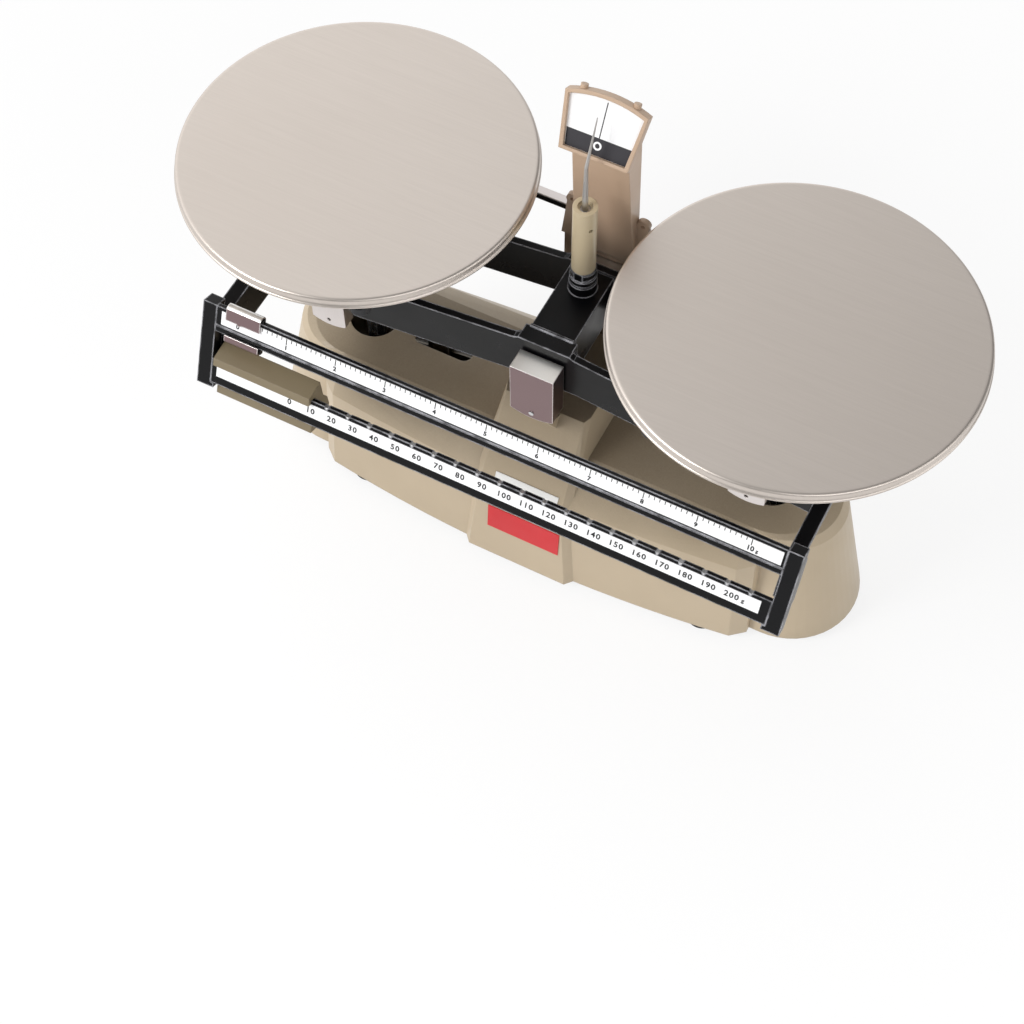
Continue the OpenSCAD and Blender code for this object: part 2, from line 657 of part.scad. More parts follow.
// Posts at the ends of the panel, each with a small inward foot
module post() panel() {
    box([panel_half, panel_half + post_w], [0, post_d], [-post_l, upper_top]);
    box([panel_half - post_foot, panel_half], [0, post_d], [-post_l, -post_l + post_foot_h]);
}
module right_post() color("#2a2b2d") placed() post();
module left_post() color("#2a2b2d") placed() mirror([1, 0, 0]) post();
module rear_posts() color("#1d1d1f") placed() for (m = [0, 1]) mirror([m, 0, 0])
    box([beam_half, beam_half + arm_w], [rear_in, rear_out], [arm_top, rear_z - rear_h]);

// Bars and their white strips
module upper_bar() color("#1d1d1f") placed() panel() {
    box([-panel_half, panel_half], [0, bar_t], [upper_top - upper_h, upper_top]);
    box([-panel_half, panel_half], [-0.35, 0], [-ridge_s - 0.3, -ridge_s + 0.3]);
}
module upper_scale() color("white") placed() panel()
    box([-panel_half + 2.8, panel_half - 1.4], [-strip_t, 0], [upper_strip_top - upper_strip_h, upper_strip_top]);
module notch() translate([0, -lower_s - notch_depth])
    polygon([[-0.25, 0], [0.25, 0], [1.1, notch_depth + over], [-1.1, notch_depth + over]]);
module lower_bar() color("#1d1d1f") placed() panel() difference() {
    box([-panel_half, panel_half], [0, bar_t], [-lower_s - lower_h, -lower_s]);
    for (i = [0 : notch_count - 1]) translate([notch_zero + i * notch_pitch, 0, 0])
        along_y(-over, bar_t + over) notch();
}
module lower_scale() color("white") placed() panel() box([-panel_half + 2.8, panel_half - 4.1], [-strip_t, 0],
    [-lower_s - lower_strip_drop - lower_strip_h, -lower_s - lower_strip_drop]);
module rear_bar() color("#1d1d1f") placed()
    box([-beam_half - arm_w, beam_half + arm_w], [rear_in, rear_out], [rear_z - rear_h, rear_z - rear_strip]);
module rear_scale() color("#d5d7d9") placed() box([-beam_half - arm_w, beam_half + arm_w], [rear_in, rear_out],
    [rear_z - rear_strip, rear_z]);

// Screws that hold the posts, bars and arms together
module frame_screws() color("#6d6f72") placed() for (m = [0, 1]) mirror([m, 0, 0]) {
    for (s = [15, 22]) panel() {
        translate([panel_half + post_w / 2, post_d + arm_t, -s]) rotate([-90, 0, 0]) cylinder(r = 1.7, h = 1.2);
    }
    for (sy = [-1, 1]) translate([beam_half - bridge_t, sy * 15, arm_top - arm_h + 4]) rotate([0, 90, 0])
        cylinder(r = screw_r, h = bridge_t + arm_t);
    for (sy = [-1, 1]) translate([beam_half + arm_t, sy * 15, arm_top - arm_h + 4]) rotate([0, 90, 0])
        cylinder(r = 3, h = 1.8);
}
module counterweight() color("#5c5d60") placed() box([pan_x + end_boss_r + 0.5, beam_half - bridge_t],
    [-beam_y + beam_t, beam_y - beam_t], [knife_z - counterweight_low, knife_z - 0.5]);

// Pointer: spindle inside the sleeve, then a tapering needle that leans back to the tip
needle_y = spindle_y - 0.3;
needle_bend = tip_z - 20;
tip_y = spindle_y + 8.5;
module pointer() color("#c8c6c4") placed() {
    translate([0, spindle_y, block_base + 6]) cylinder(r = spindle_r, h = sleeve_top - 1.6 - block_base - 6);
    translate([0, needle_y, sleeve_top - 1.6]) cylinder(r1 = 1.4, r2 = 0.8, h = needle_bend - sleeve_top + 1.6);
    translate([0, needle_y, needle_bend]) sphere(0.8);
    translate([0, needle_y, needle_bend]) rotate([-atan2(tip_y - needle_y, tip_z - needle_bend), 0, 0])
        cylinder(r1 = 0.8, r2 = 0.25, h = norm([tip_y - needle_y, tip_z - needle_bend]));
}
module zero_sleeve() color("#cdbf9c") placed() translate([0, spindle_y, 0]) difference() {
    translate([0, 0, sleeve_z]) cylinder(r = sleeve_r, h = sleeve_h);
    translate([0, 0, sleeve_z - over]) cylinder(r = spindle_r + turn_gap, h = sleeve_h + 2 * over);
    translate([0, 0, sleeve_top - 1.2]) cylinder(r = sleeve_r - 2, h = 1.2 + over);
    rotate(-35) translate([0, 0, sleeve_top - 10.4]) rotate([0, 90, 0]) cylinder(r = 0.9, h = sleeve_r + over);
}

// Small poise: a bent sheet round the upper bar, open in front of the numbers
module small_loop(grow) round_rect([-strip_t - gap - small_t + grow, bar_t + gap + small_t - grow],
    [small_low + grow, small_top - grow], 2.2 - grow);
module small_poise() color("#c9c6c6") placed() panel() {
    along_x(small_right - small_l, small_right) difference() {
        small_loop(0);
        small_loop(small_t);
        translate([-strip_t - gap - small_t - over, upper_top - upper_h + 0.7])
            square([small_t + over + 0.1, upper_h - 5]);
    }
    translate([small_zero, 0, 0]) along_y(-strip_t - gap - small_t, -strip_t - gap)
        polygon([[-1.1, -4], [1.1, -4], [0, -5]]);
}
module small_poise_core() color("#17171a") placed() panel()
    for (z = [[upper_top + gap, small_top - small_t - loose_gap],
        [small_low + small_t + loose_gap, upper_top - upper_h - gap]])
    box([small_right - small_l, small_right + core_out], [-strip_t - gap + 0.9, bar_t + gap - 0.9], z);

// Large poise: hangs over the lower bar, its weight behind the bar
module large_poise() color("#9c8f74") placed() panel() along_x(large_right - large_l, large_right)
    polygon([[-2.6, -lower_s + 2.1], [5.5, -lower_s + 6.7], [10.1, -lower_s - 2.5], [14.3, -lower_s - 5.9],
        [16.9, -lower_s - 10.8], [17.2, large_low], [bar_t + gap, large_low], [bar_t + gap, -lower_s + gap],
        [-strip_t - gap, -lower_s + gap], [-strip_t - gap, -lower_s - 1.6], [-2.6, -lower_s - 1.6]]);
module large_poise_tongue() color("#c9ccd0") placed() panel() translate([notch_zero, 0, 0])
    along_y(0, bar_t) polygon([[-0.8, -lower_s + gap], [0, -lower_s + gap - 0.25], [0.8, -lower_s + gap]]);

// Pan suspension, drawn for one pan at x = 0
module yoke() difference() {
    union() {
        for (a = [0, 180]) rotate(a) box([-cheek_w / 2, cheek_w / 2], [-cheek_out, -cheek_in],
            [cheek_low, cheek_top]);
        box([-cheek_w / 2, cheek_w / 2], [-cheek_out, cheek_out], [cheek_top - bridge_h, cheek_top]);
        translate([0, 0, cheek_top - bridge_h - hub_h]) cylinder(r = hub_r, h = hub_h);
    }
    box([-end_block_w / 2, end_block_w / 2], [-cheek_out - over, cheek_out + over],
        [cheek_low - over, end_block_top]);
    translate([0, 0, cheek_top - bridge_h - hub_h - over]) cylinder(r = stem_r, h = hub_h + over + 2);
}
module end_bearings() for (a = [0, 180]) rotate(a) along_y(-cheek_out + 0.3, -cheek_in)
    polygon([[-end_block_w / 2, knife_z - 1.5], [-end_block_w / 2 + 0.4, knife_z - 1.5],
        [0, knife_z + turn_gap], [end_block_w / 2 - 0.4, knife_z - 1.5], [end_block_w / 2, knife_z - 1.5],
        [end_block_w / 2, end_block_top], [-end_block_w / 2, end_block_top]]);
module end_covers() for (a = [0, 180]) rotate(a)
    cap(cheek_w + 2 * cover_t, end_cover_top - end_cover_h, end_cover_top, cheek_in + 1, cheek_out + cover_t,
        end_cover_bow, -over);
module stem() difference() {
    union() {
        translate([0, 0, fork_top]) cylinder(r = stem_r, h = cheek_top - bridge_h + 2 - fork_top);
        box([-5.5, 5.5], [-fork_half, fork_half], [fork_low, fork_top + 3]);
    }
    box([-5.5 - over, 5.5 + over], [-rod_t / 2 - fork_gap, rod_t / 2 + fork_gap], [fork_low - over, fork_top]);
    pin_y(0, rod_z, rod_pin_r, -fork_half - over, fork_half + over);
}
module link_pin() pin_y(0, rod_z, rod_pin_r, -fork_half - 0.8, fork_half + 0.8);
module spider() {
    translate([0, 0, spider_z]) cylinder(r = spider_hub_r, h = spider_t);
    for (a = [0, 120, 240]) rotate(a) translate([0, 0, spider_z]) linear_extrude(spider_t) {
        polygon([[0, -spider_root_w / 2], [spider_reach - spider_arm_w / 2, -spider_arm_w / 2],
            [spider_reach - spider_arm_w / 2, spider_arm_w / 2], [0, spider_root_w / 2]]);
        translate([spider_reach - spider_arm_w / 2, 0]) circle(spider_arm_w / 2);
    }
}
module buttons() for (a = [0, 120, 240]) rotate(a) translate([button_at, 0, spider_z + spider_t])
    rotate_extrude() polygon([[0, 0], [button_r - 1, 0], [button_r - 1, 2], [button_r, 3],
        [button_r - 0.6, pan_top - pan_sheet - spider_z - spider_t], [0, pan_top - pan_sheet - spider_z - spider_t]]);
module pan() translate([0, 0, pan_top]) rotate_extrude($fn = 180) {
    translate([0, -pan_sheet]) square([pan_r - 1.4, pan_sheet]);
    translate([pan_r - 1.4, -1.4]) difference() {
        intersection() {
            circle(1.4);
            square(1.4);
        }
        circle(1.4 - pan_sheet);
    }
    translate([pan_r - pan_sheet, -pan_rim + 1]) square([pan_sheet, pan_rim - 2.4]);
    translate([pan_r - pan_sheet + pan_bead, -pan_rim + pan_bead]) circle(pan_bead);
    translate([pan_r - pan_sheet, -pan_rim + pan_bead]) square([pan_sheet, 1]);
}

// One named piece at each side; the right side mirrors the left
module left_side() translate([-pan_x, 0, 0]) mirror([1, 0, 0]) children();
module right_side() translate([pan_x, 0, 0]) children();
module left_yoke() color("#1d1d1f") placed() left_side() yoke();
module right_yoke() color("#1d1d1f") placed() right_side() yoke();
module left_bearings() color("#c9ccd0") placed() left_side() end_bearings();
module right_bearings() color("#c9ccd0") placed() right_side() end_bearings();
module left_covers() color("#b8b5b4") placed() left_side() end_covers();
module right_covers() color("#b8b5b4") placed() right_side() end_covers();
module left_stem() color("#b9bbbe") placed() left_side() stem();
module right_stem() color("#b9bbbe") placed() right_side() stem();
module left_link_pin() color("#b9bbbe") placed() left_side() link_pin();
module right_link_pin() color("#b9bbbe") placed() right_side() link_pin();
module left_spider() color("#3a3b3d") placed() left_side() spider();
module right_spider() color("#3a3b3d") placed() right_side() spider();
module left_buttons() color("#26262a") placed() left_side() buttons();
module right_buttons() color("#26262a") placed() right_side() buttons();
module left_pan() color("#c4bfb8") placed() left_side() pan();
module right_pan() color("#c4bfb8") placed() right_side() pan();

base_casting();
bottom_plate();
feet();
foot_screws();
model_plate();
red_plate();
centre_bearings();
front_bearing_cover();
rear_bearing_cover();
cover_screws();
indicator_column();
dial_plate();
dial_screws();
column_screws();
rod_bracket();
rod_pivot();
check_rod();
beam_casting();
centre_knife();
end_knives();
left_arm();
right_arm();
left_post();
right_post();
rear_posts();
upper_bar();
upper_scale();
lower_bar();
lower_scale();
rear_bar();
rear_scale();
frame_screws();
counterweight();
pointer();
zero_sleeve();
small_poise();
small_poise_core();
large_poise();
large_poise_tongue();
left_yoke();
right_yoke();
left_bearings();
right_bearings();
left_covers();
right_covers();
left_stem();
right_stem();
left_link_pin();
right_link_pin();
left_spider();
right_spider();
left_buttons();
right_buttons();
left_pan();
right_pan();
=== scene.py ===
"""Looks of the two-pan trip balance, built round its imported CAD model."""
import json
import math

import bpy
from mathutils import Matrix, Vector


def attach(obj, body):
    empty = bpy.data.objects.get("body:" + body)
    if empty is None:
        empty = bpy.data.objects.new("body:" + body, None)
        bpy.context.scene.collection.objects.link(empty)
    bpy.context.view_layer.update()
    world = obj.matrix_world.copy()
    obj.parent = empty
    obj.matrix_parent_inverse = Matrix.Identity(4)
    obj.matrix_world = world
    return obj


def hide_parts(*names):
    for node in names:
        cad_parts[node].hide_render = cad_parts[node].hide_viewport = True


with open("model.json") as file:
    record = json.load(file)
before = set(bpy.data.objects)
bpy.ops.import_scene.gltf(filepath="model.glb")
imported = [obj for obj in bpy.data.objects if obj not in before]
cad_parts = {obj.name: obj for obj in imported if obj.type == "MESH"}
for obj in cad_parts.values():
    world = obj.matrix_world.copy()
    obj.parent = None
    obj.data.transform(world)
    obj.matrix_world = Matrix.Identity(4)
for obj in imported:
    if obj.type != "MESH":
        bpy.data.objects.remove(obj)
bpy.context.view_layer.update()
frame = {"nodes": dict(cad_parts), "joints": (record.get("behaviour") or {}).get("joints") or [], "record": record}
nodes = frame["nodes"]
scene = bpy.context.scene
MM = 0.001

# The CAD model is moved back by this much so that its box is centred on the origin
Y0 = frame["joints"][0]["pos_m"][1]


# ---------------------------------------------------------------- camera
# Fitted to the photograph: the image's right, the image's down and the way the camera looks
RIGHT = Vector((0.88687432, 0.46191207, -0.00954893))
DOWN = Vector((0.39026136, -0.76004676, -0.51963930))
AHEAD = Vector((-0.24728530, 0.45712817, -0.85433238))
EYE = Vector((0.22606387, -0.47284836 + Y0, 0.83637587))
FOCAL_PX = 2054.0
IMAGE_PX = 1024.0

cam_data = bpy.data.cameras.new("camera")
cam_data.sensor_fit = "HORIZONTAL"
cam_data.sensor_width = 36.0
cam_data.lens = FOCAL_PX / IMAGE_PX * cam_data.sensor_width
cam_data.clip_start, cam_data.clip_end = 0.01, 20.0
cam = bpy.data.objects.new("camera", cam_data)
scene.collection.objects.link(cam)
turn = Matrix((RIGHT, -DOWN, -AHEAD)).transposed()
cam.matrix_world = Matrix.Translation(EYE) @ turn.to_4x4()
scene.camera = cam


# ---------------------------------------------------------------- materials
def srgb(r, g, b):
    """A colour given as 0-255 screen values, as linear light."""
    out = []
    for v in (r, g, b):
        v /= 255.0
        out.append(v / 12.92 if v <= 0.04045 else ((v + 0.055) / 1.055) ** 2.4)
    return (*out, 1.0)


# Cosines between the bevelled and the true normal, on an edge and on a flat
EDGE_COS, FLAT_COS = 0.90, 0.995


class Nodes:
    """A material's node tree with short calls for what is used here."""

    def __init__(self, name):
        self.mat = bpy.data.materials.new(name)
        self.mat.use_nodes = True
        self.tree = self.mat.node_tree
        self.bsdf = self.tree.nodes["Principled BSDF"]

    def new(self, kind, **values):
        node = self.tree.nodes.new(kind)
        for key, value in values.items():
            setattr(node, key, value)
        return node

    def link(self, a, b):
        self.tree.links.new(a, b)

    def feed(self, socket, value):
        """A constant is set on the socket itself, anything else is linked to it."""
        if isinstance(value, (int, float, tuple)):
            socket.default_value = value
        else:
            self.link(value, socket)

    def coords(self, scale=(1, 1, 1), turn_z=0.0):
        tex = self.new("ShaderNodeTexCoord")
        mapping = self.new("ShaderNodeMapping")
        mapping.inputs["Scale"].default_value = scale
        mapping.inputs["Rotation"].default_value = (0, 0, turn_z)
        self.link(tex.outputs["Object"], mapping.inputs["Vector"])
        return mapping.outputs["Vector"]

    def normal_z(self):
        """How far a face looks up, in its object's frame."""
        tex = self.new("ShaderNodeTexCoord")
        split = self.new("ShaderNodeSeparateXYZ")
        self.link(tex.outputs["Normal"], split.inputs[0])
        return split.outputs["Z"]

    def noise(self, vector, scale, detail=3.0, rough=0.55):
        node = self.new("ShaderNodeTexNoise")
        node.inputs["Scale"].default_value = scale
        node.inputs["Detail"].default_value = detail
        node.inputs["Roughness"].default_value = rough
        self.link(vector, node.inputs["Vector"])
        return node.outputs["Fac"]

    def span(self, value, from_low, from_high, to_low, to_high):
        node = self.new("ShaderNodeMapRange")
        for key, v in (("From Min", from_low), ("From Max", from_high),
                       ("To Min", to_low), ("To Max", to_high)):
            node.inputs[key].default_value = v
        self.link(value, node.inputs["Value"])
        return node.outputs["Result"]

    def vary(self, noise, low, high, cut=0.3):
        """low to high as the noise goes from cut to 1 - cut."""
        return self.span(noise, cut, 1 - cut, low, high)

    def math(self, kind, a, b):
        node = self.new("ShaderNodeMath", operation=kind)
        self.feed(node.inputs[0], a)
        self.feed(node.inputs[1], b)
        return node.outputs[0]

    def mix(self, fac, a, b):
        node = self.new("ShaderNodeMix", data_type="RGBA")
        self.feed(node.inputs[0], fac)
        self.feed(node.inputs[6], a)
        self.feed(node.inputs[7], b)
        return node.outputs[2]

    def bump(self, height, distance, under=None):
        node = self.new("ShaderNodeBump")
        node.inputs["Distance"].default_value = distance
        node.inputs["Strength"].default_value = 1.0
        self.link(height, node.inputs["Height"])
        if under is not None:
            self.link(under, node.inputs["Normal"])
        return node.outputs["Normal"]

    def rounded(self, radius):
        """The normal as if sharp edges were rounded by this radius."""
        bevel = self.new("ShaderNodeBevel", samples=6)
        bevel.inputs["Radius"].default_value = radius
        return bevel.outputs["Normal"]

    def edges(self, radius):
        """1 on sharp edges, 0 on flats, from a bevelled normal."""
        bevel = self.new("ShaderNodeBevel", samples=4)
        bevel.inputs["Radius"].default_value = radius
        geometry = self.new("ShaderNodeNewGeometry")
        dot = self.new("ShaderNodeVectorMath", operation="DOT_PRODUCT")
        self.link(bevel.outputs["Normal"], dot.inputs[0])
        self.link(geometry.outputs["Normal"], dot.inputs[1])
        return self.span(dot.outputs["Value"], FLAT_COS, EDGE_COS, 0.0, 1.0)

    def set(self, **values):
        for key, value in values.items():
            self.feed(self.bsdf.inputs[key.replace("_", " ")], value)
        return self.mat


# Noise scales, per metre: slow drift of a shade, spots of edge wear and painted edge highlight, changes in gloss,
# handled patches
DRIFT, WEAR_AND_HIGHLIGHT_SPOTS, HAZE, PATCHES = 14.0, 160.0, 60.0, 22.0
# Painted shade in sheltered places: its colour, how far shelter counts in metres, and its share of open sky
SHELTER_SHADE = srgb(60, 46, 34)
SHELTER_REACH = 0.11
SKY_OPEN, SKY_CLOSED = 0.9, 0.2


def paint(name, colour, darker, wear_and_highlight_colour, rough, metal=0.0, grain=900.0, bump=0.00002, edge=0.0004,
          wear_and_highlight=0.35, soft=0.0007, gloss=0.5, painted_shade=0.0):
    """Sprayed enamel on a casting: fine orange peel, slight shade drift, paler edges (a little wear, and on
    the black enamel a painted highlight), and painted shade that darkens what lies face up in a sheltered place."""
    n = Nodes(name)
    v = n.coords()
    base = n.mix(n.vary(n.noise(v, DRIFT, 4.0), 0.0, 1.0, cut=0.35), darker, colour)
    on_edge = n.edges(edge)
    spots = n.span(n.noise(v, WEAR_AND_HIGHLIGHT_SPOTS), 0.35, 0.6, 0.3, 1.0)
    # Edges take the paler colour: wear on most paints, a painted highlight on the black enamel
    base = n.mix(n.math("MULTIPLY", on_edge, n.math("MULTIPLY", spots, wear_and_highlight)), base, wear_and_highlight_colour)
    # Painted shade: faces that look up and that other parts shelter from the sky are darkened towards a brown
    if painted_shade:
        shelter = n.new("ShaderNodeAmbientOcclusion", samples=8)
        shelter.inputs["Distance"].default_value = SHELTER_REACH
        faces_up = n.span(n.normal_z(), 0.2, 0.7, 0.0, 1.0)
        shade_share = n.span(shelter.outputs["AO"], SKY_OPEN, SKY_CLOSED, 0.0, painted_shade)
        base = n.mix(n.math("MULTIPLY", shade_share, faces_up), base, SHELTER_SHADE)
    peel = n.noise(v, grain, 2.0)
    return n.set(Base_Color=base, Roughness=n.vary(n.noise(v, HAZE), rough - 0.05, rough + 0.07),
                 Metallic=metal, Specular_IOR_Level=gloss,
                 Normal=n.bump(peel, bump, under=n.rounded(soft)))


def metal(name, colour, rough, stretch=(1, 1, 1), scale=600.0, shade=0.06, soft=0.0005, top=None,
          rim=None):
    """Ground or drawn metal: streaks along one axis in shade, gloss and a little relief. It may have a
    top painted paler as painted light, and a bright rim along its edges as a painted highlight."""
    n = Nodes(name)
    v = n.coords(scale=stretch)
    streak = n.noise(v, scale, 4.0, 0.7)
    dull = tuple(c * (1 - 2 * shade) for c in colour[:3]) + (1.0,)
    base = n.mix(n.vary(streak, 0.0, 1.0), dull, colour)
    # Painted light: faces that look up are painted paler than the sides
    if top:
        base = n.mix(n.span(n.normal_z(), 0.55, 0.8, 0.0, 1.0), base, top)
    # Painted highlight: a bright colour along the edges
    if rim:
        base = n.mix(n.edges(0.0007), base, rim)
    patches = n.noise(n.coords(), PATCHES)
    return n.set(Base_Color=base, Metallic=1.0,
                 Roughness=n.math("ADD", n.vary(streak, rough, rough + 0.06),
                                  n.vary(patches, 0.0, 0.05)),
                 Normal=n.bump(streak, 0.000004, under=n.rounded(soft)))


def plastic(name, colour, darker, rough, grain=700.0, bump=0.00001, coat=0.0):
    """Moulded plastic, rubber or ink with a fine grain."""
    n = Nodes(name)
    v = n.coords()
    base = n.mix(n.vary(n.noise(v, 30.0), 0.0, 1.0, cut=0.35), darker, colour)
    return n.set(Base_Color=base, Roughness=n.vary(n.noise(v, 90.0), rough - 0.04, rough + 0.05),
                 Normal=n.bump(n.noise(v, grain), bump), Coat_Weight=coat)


def pan_steel():
    """Satin stainless sheet, ground one way, with faint long streaks."""
    n = Nodes("pan_steel")
    grind = math.radians(35)
    streak = n.noise(n.coords(scale=(1, 40, 1), turn_z=grind), 30.0, 6.0, 0.75)
    fine = n.noise(n.coords(scale=(1, 60, 1), turn_z=grind), 160.0)
    cloud = n.noise(n.coords(), 7.0, 2.0)
    base = n.mix(n.vary(streak, 0.0, 1.0, cut=0.35), srgb(204, 195, 187), srgb(209, 200, 192))
    base = n.mix(n.vary(cloud, 0.0, 0.3), base, srgb(199, 189, 180))
    rough = n.math("ADD", n.vary(fine, 0.33, 0.37), n.vary(cloud, 0.0, 0.03))
    return n.set(Base_Color=base, Metallic=1.0, Roughness=rough, Normal=n.bump(fine, 0.0000015))


# The tan enamel gets painted shade on its sheltered faces that look up
TAN = paint("tan_enamel", srgb(188, 171, 145), srgb(180, 163, 137), srgb(206, 192, 168), 0.38,
            edge=0.0006, wear_and_highlight=0.3, painted_shade=0.75)
POISE = paint("poise_enamel", srgb(128, 115, 90), srgb(120, 107, 83), srgb(150, 137, 112), 0.42,
              wear_and_highlight=0.3)
HEAD = paint("head_enamel", srgb(191, 165, 141), srgb(183, 157, 134), srgb(208, 187, 168), 0.4,
             wear_and_highlight=0.3)
# The black enamel's near-white edge colour at more than full share is a painted highlight along its edges
BLACK = paint("black_enamel", srgb(13, 13, 15), srgb(9, 9, 11), srgb(200, 200, 206), 0.3,
              grain=1100.0, bump=0.000004, edge=0.0009, wear_and_highlight=1.1, soft=0.0009, gloss=0.16)
IRON = paint("dark_iron", srgb(52, 52, 54), srgb(38, 38, 40), srgb(90, 90, 92), 0.6,
             metal=0.3, grain=500.0, bump=0.00006)
SLEEVE = paint("sleeve_enamel", srgb(196, 180, 150), srgb(189, 173, 143), srgb(214, 200, 174), 0.34,
               wear_and_highlight=0.3, soft=0.0004)
STEEL = metal("ground_steel", srgb(215, 215, 217), 0.24, stretch=(1, 6, 1))
DULL_STEEL = metal("dull_steel", srgb(140, 141, 144), 0.4, stretch=(1, 1, 4), scale=300.0)
# The cover's paler top is painted light and its bright rim a painted highlight
COVER = metal("cover_steel", srgb(136, 115, 116), 0.3, stretch=(6, 1, 1), shade=0.03, soft=0.0006,
              top=srgb(240, 238, 234), rim=srgb(250, 244, 242))
BRIGHT = metal("bright_cover", srgb(226, 219, 216), 0.32, stretch=(6, 1, 1), shade=0.03, soft=0.0006)
NEEDLE = metal("needle_metal", srgb(196, 194, 192), 0.3, stretch=(5, 5, 1))
PAN = pan_steel()
STRIP = plastic("strip_white", srgb(246, 246, 247), srgb(243, 243, 244), 0.28, coat=0.3)
WHITE = plastic("white_plate", srgb(236, 235, 232), srgb(230, 229, 226), 0.45)
RED = plastic("red_plate", srgb(204, 34, 42), srgb(196, 29, 37), 0.5)
BLACK_PLASTIC = plastic("black_plastic", srgb(22, 22, 24), srgb(15, 15, 17), 0.5,
                        grain=500.0, bump=0.00003)
RUBBER = plastic("rubber", srgb(34, 34, 36), srgb(26, 26, 28), 0.75, grain=400.0, bump=0.00006)
INK = plastic("ink", srgb(26, 26, 28), srgb(20, 20, 22), 0.5)
BAND = plastic("band_ink", srgb(52, 50, 55), srgb(46, 44, 49), 0.4)

by_slot = {
    "tan_paint": TAN, "head_paint": HEAD, "black_paint": BLACK, "dark_iron": IRON,
    "plate_steel": DULL_STEEL, "pan_steel": PAN, "hard_steel": STEEL, "cover_steel": COVER,
    "needle_metal": NEEDLE, "strip_white": STRIP, "white_plastic": WHITE, "red_plastic": RED,
    "black_plastic": BLACK_PLASTIC, "sleeve_brass": SLEEVE, "black_rubber": RUBBER,
    "weight_metal": POISE}
by_node = {"left_covers": BRIGHT, "right_covers": BRIGHT, "large_poise_tongue": BRIGHT,
           "rear_scale": BRIGHT}
for part in frame["record"]["subparts"]:
    node = nodes[part["node"]]
    node.data.materials.clear()
    node.data.materials.append(by_node.get(part["node"], by_slot[part["material_slot"]]))


# ---------------------------------------------------------------- shapes
def mesh_piece(name, verts, faces, material, body, slot):
    mesh = bpy.data.meshes.new(name)
    mesh.from_pydata(verts, [], faces)
    mesh.materials.append(material)
    mesh.validate()
    obj = bpy.data.objects.new(name, mesh)
    scene.collection.objects.link(obj)
    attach(obj, body)
    return obj


def boxes(matrix, items):
    """Vertices and faces of boxes (x0, x1, y0, y1, z0, z1) in mm, placed by matrix."""
    verts, faces = [], []
    for x0, x1, y0, y1, z0, z1 in items:
        k = len(verts)
        for x, y, z in ((x0, y0, z0), (x1, y0, z0), (x1, y1, z0), (x0, y1, z0),
                        (x0, y0, z1), (x1, y0, z1), (x1, y1, z1), (x0, y1, z1)):
            verts.append(matrix @ Vector((x * MM, y * MM, z * MM)))
        faces += [[k + i for i in f] for f in ((0, 3, 2, 1), (4, 5, 6, 7), (0, 1, 5, 4),
                                                (1, 2, 6, 5), (2, 3, 7, 6), (3, 0, 4, 7))]
    return verts, faces


def prism(matrix, outline, y0, y1, caps):
    """An outline (x, z) in mm drawn out from y0 to y1. caps lists its cap's faces by point number."""
    count = len(outline)
    verts = [matrix @ Vector((x * MM, y * MM, z * MM)) for y in (y0, y1) for x, z in outline]
    faces = [list(f) for f in caps] + [[count + i for i in reversed(f)] for f in caps]
    faces += [[i, count + i, count + (i + 1) % count, (i + 1) % count] for i in range(count)]
    return verts, faces


def arc(r, z, size, start, end, steps):
    """Points of an arc of radius size about (r, z), from start to end in degrees."""
    turns = [math.radians(start + (end - start) * k / steps) for k in range(steps + 1)]
    return [(r + size * math.cos(a), z + size * math.sin(a)) for a in turns]


def text_mesh(string, size_mm, thick_mm, bold_mm, spacing):
    """Vertices and faces of one centred string, x right and z up, facing -y, in metres."""
    curve = bpy.data.curves.new("figure", "FONT")
    curve.body = string
    curve.size = size_mm * MM
    curve.align_x = "CENTER"
    curve.align_y = "CENTER"
    curve.extrude = thick_mm / 2 * MM
    curve.offset = bold_mm * MM
    curve.space_character = spacing
    curve.resolution_u = 3
    obj = bpy.data.objects.new("figure", curve)
    scene.collection.objects.link(obj)
    bpy.context.view_layer.update()
    mesh = bpy.data.meshes.new_from_object(obj)
    verts = [(v.co.x, -v.co.z, v.co.y) for v in mesh.vertices]
    faces = [list(p.vertices) for p in mesh.polygons]
    bpy.data.objects.remove(obj)
    bpy.data.curves.remove(curve)
    bpy.data.meshes.remove(mesh)
    return verts, faces


def add(store, verts, faces):
    k = len(store[0])
    store[0].extend(verts)
    store[1].extend([[k + i for i in f] for f in faces])


# ---------------------------------------------------------------- the two bars' scales
# These repeat the CAD source, in mm. The panel of the two bars leans back
PANEL = (Matrix.Translation((0, -70.6 * MM + Y0, 146.7 * MM))
         @ Matrix.Rotation(math.radians(-22), 4, "X"))
STRIP_FACE = -0.3
GRAM_ZERO, GRAM_PITCH = -119.42, 23.49
NOTCH_ZERO, NOTCH_PITCH = -94.41, 10.26
NOTCH_Z, NOTCH_DEPTH, BAR_T = -26.6, 1.69, 2.4
# These are read off the photograph: the marks' thickness, heights and sizes
INK_T = 0.05
TICK_TOP, TICK_FOOT = -1.35, -1.3
UPPER_Z, UPPER_SIZE = -5.9, 2.9
LOWER_Z, LOWER_SIZE = -31.7, 3.8
# A figure stands this share of a notch to the right of its notch
LOWER_SHIFT = 0.3


def put_text(store, string, x, z, size, bold=0.06, spacing=1.0):
    verts, faces = text_mesh(string, size, INK_T, bold, spacing)
    place = PANEL @ Matrix.Translation((x * MM, (STRIP_FACE - INK_T / 2) * MM, z * MM))
    add(store, [place @ Vector(v) for v in verts], faces)


